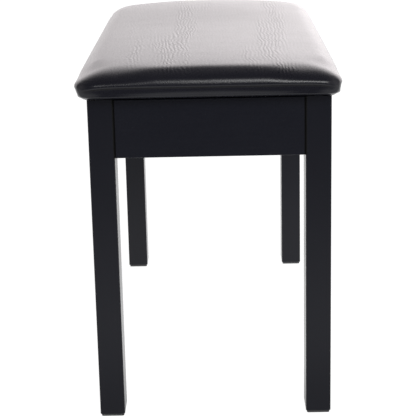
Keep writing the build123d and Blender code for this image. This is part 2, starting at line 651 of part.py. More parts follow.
def four(pieces):
    """The same pieces in all four corners."""
    return [at_corner(piece, side_x, side_y) for side_x, side_y, _ in CORNERS for piece in pieces]


nodes["corner_blocks"] = four([corner_block()])
nodes["corner_bolts"] = four([corner_bolt(flat) for flat in bolt_lines()])
nodes["corner_bolt_washers"] = four([corner_washer(flat) for flat in bolt_lines()])
nodes["leg_inserts"] = four([leg_insert(flat) for flat in bolt_lines()])
nodes["apron_dowels"] = four(corner_dowels())
nodes["block_screws"] = four([screw(seat, way, BLOCK_SCREW_LENGTH) for seat, way in block_screw_seats()])
nodes["foot_glides"] = four([foot_glide()])
nodes["foot_glide_nails"] = four([glide_nail()])
nodes["lid_bumpers"] = bumpers

nodes["hinge_frame_leaves"] = [hinge_leaf(centre, 0, False) for centre in HINGE_CENTRES]
nodes["hinge_lid_leaves"] = [hinge_leaf(centre, 1, True) for centre in HINGE_CENTRES]
nodes["hinge_pins"] = [hinge_pin(centre) for centre in HINGE_CENTRES]
frame_seats = [seat for centre in HINGE_CENTRES for seat in frame_leaf_seats(centre)]
nodes["hinge_frame_screws"] = [screw(seat, (0.0, -1.0, 0.0), HARDWARE_SCREW_LENGTH) for seat in frame_seats]
lid_seats = [seat for centre in HINGE_CENTRES for seat in lid_leaf_seats(centre)]
nodes["hinge_lid_screws"] = [screw(seat, (0.0, 0.0, 1.0), HARDWARE_SCREW_LENGTH) for seat in lid_seats]

for side_x, side in ((-1, "left"), (1, "right")):
    for name, piece in stay_pieces().items():
        nodes[name + "_" + side] = [at_corner(piece, side_x, 1)]
both = ((-1, 1), (1, 1))
nodes["stay_box_brackets"] = [at_corner(box_bracket(), *sides) for sides in both]
nodes["stay_lid_brackets"] = [at_corner(lid_bracket(), *sides) for sides in both]
box_screws = [screw(seat, (1.0, 0.0, 0.0), HARDWARE_SCREW_LENGTH) for seat in box_screw_seats()]
nodes["stay_box_screws"] = [at_corner(piece, *sides) for sides in both for piece in box_screws]
lid_screws = [screw(seat, (0.0, 0.0, 1.0), HARDWARE_SCREW_LENGTH) for seat in lid_screw_seats()]
nodes["stay_lid_screws"] = [at_corner(piece, *sides) for sides in both for piece in lid_screws]

cover, board = seat_cover(), lid_board()
for seat in lid_seats:
    hole = shank(seat, (0.0, 0.0, 1.0), HARDWARE_SCREW_LENGTH)
    cover, board = cover - hole, board - hole
for sides in both:
    for seat in lid_screw_seats():
        hole = at_corner(shank(seat, (0.0, 0.0, 1.0), HARDWARE_SCREW_LENGTH), *sides)
        cover, board = cover - hole, board - hole
nodes["seat_cover"] = [cover]
nodes["lid_board"] = [board]
nodes["foam_pad"] = [foam_pad()]
nodes["dust_cover"] = [dust_cover()]
areas = fitting_areas(STAPLE_CROWN)
staple_rows = (("cover_staples", COVER_STAPLE_SET, COVER_BOTTOM),
               ("dust_cover_staples", DUST_STAPLE_SET, COVER_BOTTOM - DUST_THICK))
for name, inset, crown_z in staple_rows:
    nodes[name] = staple_row(RETURN_X + inset, RETURN_Y + inset, crown_z, areas)

os.makedirs("parts", exist_ok=True)
for name, pieces in nodes.items():
    solids = [solid for piece in pieces for solid in piece.solids()]
    export_step(solids[0] if len(solids) == 1 else Compound(children=solids), "parts/" + name + ".step")
print(len(nodes), "nodes")
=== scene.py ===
import bpy
from math import radians
from mathutils import Euler, Matrix, Vector


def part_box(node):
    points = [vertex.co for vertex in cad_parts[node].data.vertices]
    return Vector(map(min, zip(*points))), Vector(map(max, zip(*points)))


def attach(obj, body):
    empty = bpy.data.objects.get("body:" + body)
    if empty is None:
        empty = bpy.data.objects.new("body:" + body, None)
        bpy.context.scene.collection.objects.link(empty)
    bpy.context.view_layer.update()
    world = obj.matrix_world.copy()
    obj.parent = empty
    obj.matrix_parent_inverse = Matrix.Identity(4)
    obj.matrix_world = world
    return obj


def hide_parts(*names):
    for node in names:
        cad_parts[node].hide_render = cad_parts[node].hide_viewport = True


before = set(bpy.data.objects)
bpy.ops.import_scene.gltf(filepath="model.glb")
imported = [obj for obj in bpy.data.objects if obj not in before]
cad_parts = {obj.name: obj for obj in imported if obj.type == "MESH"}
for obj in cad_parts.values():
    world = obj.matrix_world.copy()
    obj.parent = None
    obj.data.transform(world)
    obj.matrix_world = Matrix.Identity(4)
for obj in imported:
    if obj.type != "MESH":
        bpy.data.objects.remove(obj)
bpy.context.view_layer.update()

scene = bpy.context.scene
scene.view_settings.view_transform = "Standard"

SENSOR, FOCAL_RATIO = 36, 3.2211538
camera_data = bpy.data.cameras.new("camera")
camera_data.lens = SENSOR * FOCAL_RATIO
camera_data.sensor_width = SENSOR
camera_data.clip_end = 100
camera = bpy.data.objects.new("camera", camera_data)
scene.collection.objects.link(camera)
PITCH, YAW, ROLL = radians(90 - 15.58), radians(90.5), radians(-1.216)
aim = Euler((PITCH, 0, YAW)).to_matrix() @ Matrix.Rotation(ROLL, 3, "Z")
camera.matrix_world = Matrix.Translation((2.1292, 0.0108, 0.7972)) @ aim.to_4x4()
scene.camera = camera


def deselect():
    """Nothing is selected or active, so the next operator acts on what is added."""
    if bpy.context.object and bpy.context.object.mode == "EDIT":
        bpy.ops.object.mode_set(mode="OBJECT")
    bpy.ops.object.select_all(action="DESELECT")


def paint(name):
    """A new node material: returns it, its node tree and its Principled shader."""
    material = bpy.data.materials.new(name)
    material.use_nodes = True
    tree = material.node_tree
    return material, tree, tree.nodes["Principled BSDF"]


def node(tree, kind, settings=None, **inputs):
    """Adds a node. Its inputs, by name or as i and a number, are linked or set to the values given."""
    made = tree.nodes.new(kind)
    for name, value in (settings or {}).items():
        setattr(made, name, value)
    for name, value in inputs.items():
        numbered = name[0] == "i" and name[1:].isdigit()
        socket = made.inputs[int(name[1:]) if numbered else name]
        if isinstance(value, bpy.types.NodeSocket):
            tree.links.new(value, socket)
        else:
            socket.default_value = value
    return made


def place(tree, stretch=(1, 1, 1)):
    """Object coordinates, stretched so that a pattern runs along the piece."""
    coordinates = tree.nodes.new("ShaderNodeTexCoord")
    return node(tree, "ShaderNodeMapping", Vector=coordinates.outputs["Object"], Scale=stretch).outputs[0]


def along(tree, vector, axis):
    """One axis of a vector."""
    return node(tree, "ShaderNodeSeparateXYZ", Vector=vector).outputs[axis]


def spread(tree, value, low, high, to_low=0.0, to_high=1.0, kind="LINEAR"):
    """Maps low to high onto another range, and holds the value at its ends."""
    return node(tree, "ShaderNodeMapRange", {"interpolation_type": kind},
                i0=value, i1=low, i2=high, i3=to_low, i4=to_high).outputs[0]


def sums(tree, operation, first, second=0.0):
    """One step of arithmetic on values."""
    return node(tree, "ShaderNodeMath", {"operation": operation}, i0=first, i1=second).outputs[0]


def to_camera(tree, lit, shown):
    """One strength for the light that a thing gives, and another for how the camera sees it."""
    seen = node(tree, "ShaderNodeLightPath").outputs["Is Camera Ray"]
    return node(tree, "ShaderNodeMix", {"data_type": "FLOAT"}, i0=seen, i2=lit, i3=shown).outputs[0]


deselect()
bpy.ops.mesh.primitive_grid_add(x_subdivisions=6, y_subdivisions=6, size=1)
floor = bpy.context.object
floor.name = "floor"
FLOOR_SIZE, FLOOR_DROP = 26, 0.0003
floor.data.transform(Matrix.Translation((-4, 0, -FLOOR_DROP)) @ Matrix.Diagonal((FLOOR_SIZE, FLOOR_SIZE, 1, 1)))
floor_paint, tree, shader = paint("pale_floor")
shader.inputs["Base Color"].default_value = (0.12, 0.12, 0.12, 1)
shader.inputs["Roughness"].default_value = 0.9
shader.inputs["Specular IOR Level"].default_value = 0.1
# the floor glows as a light for the bench: most in front of the near legs, dimmed at their feet as a painted
# shadow, and less towards the camera; the camera sees it evenly bright
floor_x = along(tree, place(tree), "X")
glow = spread(tree, floor_x, 0.36, 2.4, 1.6, 0.10, "SMOOTHSTEP")
from_feet = sums(tree, "ABSOLUTE", sums(tree, "SUBTRACT", floor_x, 0.42))
glow = sums(tree, "MULTIPLY", glow, spread(tree, from_feet, 0.02, 0.30, 0.55, 1.0, "SMOOTHSTEP"))
shader.inputs["Emission Color"].default_value = (1, 1, 1, 1)
tree.links.new(to_camera(tree, glow, 0.97), shader.inputs["Emission Strength"])
floor.data.materials.append(floor_paint)


# Light: a bright wall beyond the far end, paler walls at the sides, a dim ceiling, and one large soft
# lamp high above the camera's end.
def blend(tree, share, first, second):
    """Mixes two colours; share is how much of the second shows."""
    return node(tree, "ShaderNodeMix", {"data_type": "RGBA"}, i0=share, i6=first, i7=second).outputs[2]


CEILING = 0.22
world = bpy.data.worlds.new("studio")
world.use_nodes = True
scene.world = world
tree = world.node_tree
sky = tree.nodes["Background"]
way = tree.nodes.new("ShaderNodeTexCoord").outputs["Generated"]
way_x, way_y = along(tree, way, "X"), along(tree, way, "Y")
far_wall = sums(tree, "MULTIPLY", spread(tree, way_x, -0.94, -0.50, 2.30, 0.0, "SMOOTHSTEP"),
                spread(tree, way_y, -0.14, 0.14, 0.70, 1.22))
left_wall = spread(tree, way_y, -0.35, -1.0, 0.0, 0.75, "SMOOTHSTEP")
right_wall = spread(tree, way_y, 0.2, 1.0, 0.0, 1.05, "SMOOTHSTEP")
walls = CEILING
for wall in (far_wall, left_wall, right_wall):
    walls = sums(tree, "ADD", walls, wall)
tree.links.new(to_camera(tree, walls, 1.0), sky.inputs["Strength"])
seen = node(tree, "ShaderNodeLightPath").outputs["Is Camera Ray"]
tree.links.new(blend(tree, seen, (1.0, 0.95, 0.96, 1), (1, 1, 1, 1)), sky.inputs["Color"])

lamp_data = bpy.data.lights.new("front_lamp", "AREA")
lamp_data.shape = "RECTANGLE"
lamp_data.size, lamp_data.size_y = 1.2, 1.10
lamp_data.energy = 58
lamp = bpy.data.objects.new("front_lamp", lamp_data)
scene.collection.objects.link(lamp)
lamp_at, lamp_aim = Vector((2.12, 0.55, 2.32)), Vector((0.3, 0, 0.45))
lamp_turn = (lamp_aim - lamp_at).to_track_quat("-Z", "X").to_matrix().to_4x4()
lamp.matrix_world = Matrix.Translation(lamp_at) @ lamp_turn


# Legs: square-edged hardwood posts, sprayed in satin black lacquer that fills the grain. Each is
# dowelled and bolted to its two aprons.
def specks(tree, where, scale, detail=2.0, rough=0.5, twist=0.0):
    """Cloudy noise, from 0 to 1."""
    return node(tree, "ShaderNodeTexNoise", Vector=where, Scale=scale, Detail=detail, Roughness=rough,
                Distortion=twist).outputs["Fac"]


def cells(tree, where, scale, feature="F1"):
    """Distances to the middle, or to the edge, of small cells."""
    made = node(tree, "ShaderNodeTexVoronoi", {"feature": feature}, Vector=where, Scale=scale)
    return made.outputs["Distance"]


def weigh(tree, *pairs):
    """The sum of some values, each times its weight."""
    total = 0.0
    for value, weight in pairs:
        total = sums(tree, "ADD", total, sums(tree, "MULTIPLY", value, weight))
    return total


def tones(tree, value, *stops):
    """A colour ramp: each stop is (place, red, green, blue)."""
    ramp = node(tree, "ShaderNodeValToRGB", Fac=value)
    for _ in range(len(stops) - 2):
        ramp.color_ramp.elements.new(0.5)
    for element, (at, *colour) in zip(ramp.color_ramp.elements, stops):
        element.position = at
        element.color = (*colour, 1)
    return ramp.outputs["Color"]


def dents(tree, height, depth, under=None):
    """Bump of the given depth in metres, over another bump if one is given."""
    made = node(tree, "ShaderNodeBump", Height=height, Distance=depth, Strength=1.0)
    if under is not None:
        tree.links.new(under, made.inputs["Normal"])
    return made.outputs["Normal"]


def wear(tree, shader, colour, roughness, normal):
    """Gives a shader its colour, its roughness and its relief."""
    tree.links.new(colour, shader.inputs["Base Color"])
    tree.links.new(roughness, shader.inputs["Roughness"])
    tree.links.new(normal, shader.inputs["Normal"])


def refinish(material, *names):
    """Puts a finish on CAD nodes."""
    for name in names:
        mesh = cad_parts[name].data
        for index in range(max(1, len(mesh.materials))):
            if index < len(mesh.materials):
                mesh.materials[index] = material
            else:
                mesh.materials.append(material)


APRON_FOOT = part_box("apron_right")[0].z
JOINT_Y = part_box("apron_right")[1].y


def lacquer(name, grain_run, open_grain, jointed):
    """Satin black lacquer, with the grain drawn out on one axis. A thin coat leaves the grain open.
    The joint between a leg and an end apron is drawn as a black line of painted shade."""
    grain_share, mist_share, mist_scale = (0.3, 0.5, 520) if open_grain else (0.12, 0.2, 900)
    smoothest, roughest = (0.34, 0.50) if open_grain else (0.28, 0.38)
    grain_depth, mist_depth = (0.00012, 0.00026) if open_grain else (0.00004, 0.00003)
    material, tree, shader = paint(name)
    grain = specks(tree, place(tree, grain_run), 260, 4, 0.6)
    mist = specks(tree, place(tree), mist_scale, 2, 0.7)
    cloud = specks(tree, place(tree), 9, 3)
    dust_specks = spread(tree, cells(tree, place(tree), 110), 0.0, 0.05, 1.0, 0.0)
    colour = tones(tree, weigh(tree, (grain, grain_share), (mist, mist_share), (cloud, 0.25)),
                   (0.2, 0.0024, 0.0028, 0.0060), (0.85, 0.0058, 0.0064, 0.0104))
    colour = blend(tree, sums(tree, "MULTIPLY", dust_specks, 0.35), colour, (0.09, 0.09, 0.095, 1))
    rough = spread(tree, weigh(tree, (mist, 0.6), (cloud, 0.4)), 0.3, 0.7, smoothest, roughest)
    if jointed:
        # painted shade: a black line along the joint between a leg and an end apron, with its shine dulled
        off = sums(tree, "SUBTRACT", sums(tree, "ABSOLUTE", along(tree, place(tree), "Y")), JOINT_Y)
        joint_shade = spread(tree, sums(tree, "ABSOLUTE", off), 0.0012, 0.0024, 1.0, 0.0, "SMOOTHSTEP")
        beside_apron = spread(tree, along(tree, place(tree), "Z"), APRON_FOOT - 0.0005, APRON_FOOT + 0.0005)
        joint_shade = sums(tree, "MULTIPLY", joint_shade, beside_apron)
        colour = blend(tree, joint_shade, colour, (0.0002, 0.0002, 0.0003, 1))
        rough = sums(tree, "ADD", rough, sums(tree, "MULTIPLY", joint_shade, 0.5))
    wear(tree, shader, colour, rough, dents(tree, mist, mist_depth, under=dents(tree, grain, grain_depth)))
    shader.inputs["Specular IOR Level"].default_value = 0.115 if open_grain else 0.185
    return material


refinish(lacquer("lacquer_on_legs", (1, 1, 0.06), open_grain=False, jointed=True),
         "leg_front_left", "leg_front_right", "leg_rear_left", "leg_rear_right")


# Aprons: four boards that join the legs. Theirs is the same lacquer, thinner, so that the pores of the
# wood show as a fine speckle along the grain.
refinish(lacquer("lacquer_on_long_aprons", (0.05, 1, 1), open_grain=True, jointed=False),
         "apron_front", "apron_rear")
refinish(lacquer("lacquer_on_end_aprons", (1, 0.05, 1), open_grain=True, jointed=True),
         "apron_left", "apron_right")


# Corner blocks and dowels: plain planed beech, glued and screwed in the corners, unfinished, with the
# short dark flecks of the wood.
beech, tree, shader = paint("planed_beech")
rays = spread(tree, cells(tree, place(tree, (40, 40, 9)), 9), 0.0, 0.28, 1.0, 0.0)
rings = specks(tree, place(tree, (14, 14, 1.2)), 12, 4, 0.6, 0.6)
wood = tones(tree, rings, (0.3, 0.46, 0.31, 0.18), (0.5, 0.58, 0.42, 0.26), (0.72, 0.66, 0.50, 0.33))
wear(tree, shader, blend(tree, sums(tree, "MULTIPLY", rays, 0.45), wood, (0.30, 0.18, 0.10, 1)),
     spread(tree, rings, 0.3, 0.7, 0.55, 0.75), dents(tree, rings, 0.0002))
refinish(beech, "corner_blocks", "apron_dowels")


# Box floor: a sheet of hardboard dyed black, slid into a groove round the aprons. Its pressed fibres
# show as a faint felted mottle.
hardboard, tree, shader = paint("dyed_hardboard")
fibres = specks(tree, place(tree), 420, 6, 0.75, 1.2)
blotches = specks(tree, place(tree), 14, 3)
wear(tree, shader, tones(tree, weigh(tree, (fibres, 0.7), (blotches, 0.3)),
                         (0.3, 0.020, 0.017, 0.016), (0.7, 0.062, 0.054, 0.050)),
     spread(tree, fibres, 0.3, 0.7, 0.42, 0.62), dents(tree, fibres, 0.0002))
refinish(hardboard, "bottom_panel")


# Bolts, washers, screws and nails: zinc-plated steel, with the faint yellow and blue bloom of the
# plating and fine turning marks. The bolts go into turned brass inserts in the legs.
def metal(name, dark, light, rough_low, rough_high, marks_run=(1, 1, 1)):
    """Bare or plated metal with drawing or turning marks."""
    material, tree, shader = paint(name)
    marks = specks(tree, place(tree, marks_run), 700, 3, 0.6)
    bloom = specks(tree, place(tree), 60, 3)
    wear(tree, shader, tones(tree, bloom, (0.35, *dark), (0.65, *light)),
         spread(tree, marks, 0.3, 0.7, rough_low, rough_high), dents(tree, marks, 0.00004))
    shader.inputs["Metallic"].default_value = 1.0
    return material


refinish(metal("zinc_plate", (0.55, 0.54, 0.48), (0.66, 0.67, 0.70), 0.24, 0.42),
         "corner_bolts", "corner_bolt_washers", "block_screws", "hinge_frame_screws", "hinge_lid_screws",
         "stay_box_screws", "stay_lid_screws", "foot_glide_nails")
refinish(metal("turned_brass", (0.62, 0.45, 0.18), (0.80, 0.62, 0.32), 0.22, 0.40), "leg_inserts")


# Hinges: two butt hinges of plated steel strip on bright steel pins, brushed along the strip and
# screwed to the rear apron and the lid.
refinish(metal("hinge_strip", (0.50, 0.47, 0.40), (0.64, 0.60, 0.52), 0.26, 0.48, (0.04, 1, 1)),
         "hinge_frame_leaves", "hinge_lid_leaves", "hinge_pins")


# Lid stays: flat steel links and brackets, nickel plated, that fold on shouldered rivets at each end
# of the box.
STAY_PARTS = ("lower_link", "upper_link", "knuckle_rivet", "box_rivet", "lid_rivet")
refinish(metal("nickel_strip", (0.50, 0.49, 0.47), (0.68, 0.67, 0.65), 0.20, 0.40, (1, 0.06, 0.25)),
         "stay_box_brackets", "stay_lid_brackets",
         *[f"stay_{part}_{side}" for part in STAY_PARTS for side in ("left", "right")])


# Foot glides and lid bumpers: moulded black nylon under the legs, and soft rubber buttons on the
# front apron, both with the dull fine texture of the mould and scuffs where they bear.
def moulding(name, dark, light, rough_low, rough_high):
    """Moulded plastic or rubber, spark-textured and scuffed."""
    material, tree, shader = paint(name)
    spark = specks(tree, place(tree), 2200, 2, 0.5)
    scuffs = spread(tree, specks(tree, place(tree, (1, 0.2, 1)), 300, 4, 0.7), 0.55, 0.7)
    wear(tree, shader, tones(tree, weigh(tree, (scuffs, 0.5), (spark, 0.5)), (0.15, *dark), (0.9, *light)),
         spread(tree, spark, 0.3, 0.7, rough_low, rough_high), dents(tree, spark, 0.00008))
    return material


refinish(moulding("moulded_nylon", (0.020, 0.020, 0.022), (0.070, 0.070, 0.072), 0.42, 0.6), "foot_glides")
refinish(moulding("soft_rubber", (0.018, 0.018, 0.018), (0.055, 0.055, 0.055), 0.65, 0.85), "lid_bumpers")


# Lid board: birch plywood, sanded, with rounded edges. Its plies show as dark glue lines round the
# edge.
PLY = 0.0015
plywood, tree, shader = paint("birch_plywood")
in_ply = sums(tree, "FRACT", sums(tree, "DIVIDE", along(tree, place(tree), "Z"), PLY))
glue = spread(tree, sums(tree, "ABSOLUTE", sums(tree, "SUBTRACT", in_ply, 0.5)), 0.0, 0.09, 1.0, 0.0)
figure = specks(tree, place(tree, (0.8, 9, 9)), 14, 4, 0.6, 1.0)
face = tones(tree, figure, (0.3, 0.56, 0.42, 0.26), (0.7, 0.74, 0.61, 0.43))
edge = blend(tree, sums(tree, "MULTIPLY", glue, 0.8), face, (0.22, 0.13, 0.07, 1))
tilt = along(tree, tree.nodes.new("ShaderNodeNewGeometry").outputs["Normal"], "Z")
upright = spread(tree, sums(tree, "ABSOLUTE", tilt), 0.5, 0.7, 1.0, 0.0)
wear(tree, shader, blend(tree, upright, face, edge),
     spread(tree, figure, 0.3, 0.7, 0.5, 0.7), dents(tree, figure, 0.0002))
refinish(plywood, "lid_board")


# Staples: galvanised wire, shot through the cover in one row and through the dust cover in another,
# into the underside of the board.
refinish(metal("staple_wire", (0.50, 0.50, 0.49), (0.66, 0.66, 0.66), 0.3, 0.5),
         "cover_staples", "dust_cover_staples")


# Seat cover: one piece of soft black vinyl, pulled over the foam and the rounded edge of the lid and
# stapled underneath. It swells over the foam, and a fold runs along each side where the pull changes.
from math import atan2, exp, hypot
from mathutils import noise

cover_low, cover_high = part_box("seat_cover")
HALF_LONG, HALF_WIDE = 0.381, 0.178
SKIN = 0.0012
CORNER = 0.024
UNDERSIDE = cover_low.z
RAW_X, RAW_Y = cover_high.x - 0.052, cover_high.y - 0.052


def rounded_lid(name, length, width, low, high, corner, top_round, low_round, steps):
    """A slab with rounded corners and edges, shaped from a cube by bevels."""
    deselect()
    bpy.ops.mesh.primitive_cube_add(size=1)
    made = bpy.context.object
    made.name = name
    size = Matrix.Diagonal((length, width, high - low, 1))
    made.data.transform(Matrix.Translation((0, 0, (low + high) / 2)) @ size)
    for wanted, amount in ((lambda a, b: abs(a.z - b.z) > 1e-4, corner),
                           (lambda a, b: min(a.z, b.z) > high - 1e-4, top_round),
                           (lambda a, b: max(a.z, b.z) < low + 1e-4, low_round)):
        if not amount:
            continue
        bpy.ops.object.mode_set(mode="EDIT")
        bpy.ops.mesh.select_mode(type="EDGE")
        bpy.ops.mesh.select_all(action="DESELECT")
        bpy.ops.object.mode_set(mode="OBJECT")
        places = [v.co for v in made.data.vertices]
        for e in made.data.edges:
            e.select = wanted(places[e.vertices[0]], places[e.vertices[1]])
        bpy.ops.object.mode_set(mode="EDIT")
        bpy.ops.mesh.bevel(offset=amount, segments=steps, clamp_overlap=False)
        bpy.ops.object.mode_set(mode="OBJECT")
    return made


def choose(thing):
    """Makes a piece the only one selected, and active."""
    deselect()
    thing.select_set(True)
    bpy.context.view_layer.objects.active = thing


def apply(thing, kind, **settings):
    """Adds a modifier to a piece and applies it."""
    choose(thing)
    modifier = thing.modifiers.new(kind.lower(), kind)
    for name, value in settings.items():
        setattr(modifier, name, value)
    bpy.ops.object.modifier_apply(modifier=modifier.name)


def ease(value, low, high):
    """Rises smoothly from 0 at low to 1 at high."""
    t = min(1.0, max(0.0, (value - low) / (high - low)))
    return t * t * (3 - 2 * t)


# the slab is drawn, flattened above its waist, and given an even mesh
WAIST, WAIST_UP, FLATTEN = 0.4730, 0.4785, 0.745
cover = rounded_lid("seat_cover_vinyl", 0.7665, 0.3625, UNDERSIDE, 0.4950, CORNER, 0.0220, 0.0115, 7)
for vertex in cover.data.vertices:
    if vertex.co.z > WAIST - 0.0005:
        vertex.co.z = WAIST_UP + (vertex.co.z - WAIST) * FLATTEN
apply(cover, "REMESH", mode="VOXEL", voxel_size=0.0055)

# the foam stands highest along the middle, a little fuller towards the far end, and falls off at the
# four corners
for vertex in cover.data.vertices:
    x, y, z = vertex.co
    power, height = (6, 0.0060) if x > 0 else (10, 0.0060 + 0.0044 * ease(-x, 0.0, 0.25))
    crown = height * max(0.0, 1 - (abs(x) / HALF_LONG) ** power) * max(0.0, 1 - (abs(y) / 0.176) ** 2)
    fall = 0.0055 if x > 0 else 0.0020
    drop = fall * min(1.0, abs(x) / HALF_LONG) ** 2 * min(1.0, abs(y) / HALF_WIDE) ** 3
    vertex.co.z += ease(z, 0.484, 0.4945) * crown - ease(z, 0.478, 0.4945) * drop

# the foam pushes the vinyl out by up to 3 mm, while the staples hold it underneath
SWELL_MOST = 0.003
start = [v.co.copy() for v in cover.data.vertices]
held = cover.vertex_groups.new(name="held")
held.add([v.index for v in cover.data.vertices if v.co.z < UNDERSIDE + 0.004], 1.0, "REPLACE")
swell = cover.modifiers.new("swell", "CLOTH")
swell.settings.use_pressure = True
swell.settings.uniform_pressure_force = 4.0
swell.settings.tension_stiffness = swell.settings.compression_stiffness = 20
swell.settings.bending_stiffness = 1.5
swell.settings.vertex_group_mass = "held"
swell.settings.effector_weights.gravity = 0
for step in range(1, 15):
    scene.frame_set(step)
swollen = cover.evaluated_get(bpy.context.evaluated_depsgraph_get()).to_mesh()
moved = [v.co.copy() for v in swollen.vertices]
cover.modifiers.remove(swell)
scene.frame_set(1)
for vertex, before, after in zip(cover.data.vertices, start, moved):
    push = after - before
    vertex.co = before + push * min(1.0, SWELL_MOST / max(push.length, 1e-9))
cover.vertex_groups.clear()
apply(cover, "SMOOTH", factor=0.5, iterations=3)

# the corners are worked soft
corners = cover.vertex_groups.new(name="corners")
for vertex in cover.data.vertices:
    x, y, z = vertex.co
    in_x, in_y = abs(x) - 0.27, abs(y) - 0.07
    reach = hypot(max(0.0, in_x), max(0.0, in_y)) / 0.08
    share = ease(z, 0.479, 0.485) * ease(min(in_x, in_y), 0.0, 0.05) * ease(reach, 0.0, 0.8)
    corners.add([vertex.index], share, "REPLACE")
apply(cover, "SMOOTH", factor=0.5, iterations=40, vertex_group="corners")
cover.vertex_groups.clear()
apply(cover, "SUBSURF", levels=1, render_levels=1)


def into_seat(x, y):
    """How far a point is in from the seat's outline, in metres."""
    over_x, over_y = abs(x) - (HALF_LONG - CORNER), abs(y) - (HALF_WIDE - CORNER)
    if over_x > 0 and over_y > 0:
        return CORNER - hypot(over_x, over_y)
    return CORNER - max(over_x, over_y)


def pick(thing, wanted):
    """Selects the faces of a piece that the test picks, and leaves the piece in edit mode."""
    choose(thing)
    bpy.ops.object.mode_set(mode="EDIT")
    bpy.ops.mesh.select_mode(type="FACE")
    bpy.ops.mesh.select_all(action="DESELECT")
    bpy.ops.object.mode_set(mode="OBJECT")
    for face in thing.data.polygons:
        face.select = wanted(face.center, face.normal)
    bpy.ops.object.mode_set(mode="EDIT")


pick(cover, lambda centre, normal: 0.4635 < centre.z < 0.490 and into_seat(centre.x, centre.y) < 0.016)
bpy.ops.mesh.subdivide(number_cuts=1)
bpy.ops.object.mode_set(mode="OBJECT")

# the pull under the lid draws the sides in below a fold, which dips and dies out towards each corner
FOLD_Z, FOLD_DIP, DRAWN_IN, ROLL_OUT, FRONT_SLACK = 0.4752, 0.0060, 0.0015, 0.0010, 0.0022
fold_gap, fold_depth = [], []
for vertex in cover.data.vertices:
    x, y, z = vertex.co
    on_end = abs(x) / HALF_LONG > 1 - (1 - abs(y) / HALF_WIDE) * HALF_WIDE / HALF_LONG
    run, half = (y, HALF_WIDE) if on_end else (x, HALF_LONG)
    to_corner = half - abs(run)
    waver = 0.0004 * noise.noise(Vector((x * 18, y * 18, 3.0 if on_end else 7.0)))
    above = z - (FOLD_Z - FOLD_DIP * exp(-(to_corner / 0.019) ** 1.5) + waver)
    strength = ease(to_corner, 0.006, 0.026)
    side = 1 - ease(into_seat(x, y), 0.004, 0.018)
    outward = Vector((1 if x > 0 else -1, 0, 0)) if on_end else Vector((0, 1 if y > 0 else -1, 0))
    drawn_in = DRAWN_IN * ease(z, 0.4620, 0.4665) * (1 - ease(above, -0.0002, 0.0032))
    roll = ROLL_OUT * exp(-((above - 0.0066) / 0.0066) ** 2)
    vertex.co += outward * side * strength * (roll - drawn_in)
    if y < 0:
        vertex.co.y -= FRONT_SLACK * ease(-y, 0.145, 0.17) * exp(-((z - 0.4765) / 0.011) ** 2)
    fold_gap.append(above)
    fold_depth.append(strength * side)
for name, values in (("fold_gap", fold_gap), ("fold_depth", fold_depth)):
    cover.data.attributes.new(name, "FLOAT", "POINT").data.foreach_set("value", values)

# underneath, the spare vinyl at each corner is gathered into three flat pleats
PLEATS, PLEAT_DEPTH = (18, 45, 72), 0.0007
for vertex in cover.data.vertices:
    x, y, z = vertex.co
    if z < UNDERSIDE + 0.0008:
        out_x, out_y = abs(x) - 0.338, abs(y) - 0.135
        pleat = 0.0
        if out_x > 0 and out_y > 0:
            turn = atan2(out_y, out_x)
            pleat = sum(exp(-((turn - radians(at)) / 0.13) ** 2) for at in PLEATS)
            pleat *= ease(hypot(out_x, out_y), 0.006, 0.02)
        vertex.co.z = UNDERSIDE - PLEAT_DEPTH * pleat

inner = cover.copy()
inner.data = cover.data.copy()
scene.collection.objects.link(inner)


def cut(thing, inside, at_x, at_y):
    """Cuts the faces that the test picks along planes across X and planes across Y."""
    for at, facing in [((x, 0, 0), (1, 0, 0)) for x in at_x] + [((0, y, 0), (0, 1, 0)) for y in at_y]:
        pick(thing, inside)
        bpy.ops.mesh.bisect(plane_co=at, plane_no=facing)
        bpy.ops.object.mode_set(mode="OBJECT")


def remove_faces(thing, doomed):
    """Deletes the faces that the test picks."""
    pick(thing, doomed)
    bpy.ops.mesh.delete(type="FACE")
    bpy.ops.object.mode_set(mode="OBJECT")


def smooth(thing):
    """Shades a piece smooth, but for its sharp edges."""
    choose(thing)
    bpy.ops.object.shade_smooth_by_angle(angle=radians(50))


# the vinyl turns in under the lid and ends at a raw edge
def turned_in(centre, normal):
    return centre.z < UNDERSIDE + 0.0003 and normal.z < -0.99


def past_raw_edge(centre, normal):
    return turned_in(centre, normal) and abs(centre.x) < RAW_X and abs(centre.y) < RAW_Y


cut(cover, turned_in, (RAW_X, -RAW_X), (RAW_Y, -RAW_Y))
remove_faces(cover, past_raw_edge)
apply(cover, "SOLIDIFY", thickness=SKIN, offset=-1, use_even_offset=False)
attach(cover, "lid")
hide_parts("seat_cover")

# leather grain: pebbles and fine lines all over, with runs of stretch wrinkles along the top
vinyl, tree, shader = paint("black_vinyl")
spot = place(tree)
bend = node(tree, "ShaderNodeTexNoise", Vector=spot, Scale=38, Detail=3).outputs["Color"]
bend = node(tree, "ShaderNodeVectorMath", {"operation": "SCALE"}, i0=bend, Scale=0.016).outputs[0]
drift = node(tree, "ShaderNodeVectorMath", {"operation": "ADD"}, i0=spot, i1=bend).outputs[0]
pebbles = cells(tree, spot, 900)
lines = spread(tree, cells(tree, drift, 260, "DISTANCE_TO_EDGE"), 0.0, 0.10)
bands = {"wave_type": "BANDS", "bands_direction": "Y", "wave_profile": "SIN"}
ripples = node(tree, "ShaderNodeTexWave", bands, Vector=drift, Scale=58, Distortion=5, Detail=2,
               **{"Detail Scale": 0.35}).outputs["Fac"]
patches = spread(tree, specks(tree, place(tree, (0.16, 1.5, 1)), 10, 2), 0.52, 0.64, 0.10, 1.0, "SMOOTHSTEP")
on_top = spread(tree, along(tree, spot, "Z"), 0.486, 0.496)
wrinkles = sums(tree, "MULTIPLY", sums(tree, "MULTIPLY", ripples, patches), on_top)
hollows = specks(tree, place(tree, (1, 0.6, 1)), 16, 2)
gap = node(tree, "ShaderNodeAttribute", {"attribute_name": "fold_gap"}).outputs["Fac"]
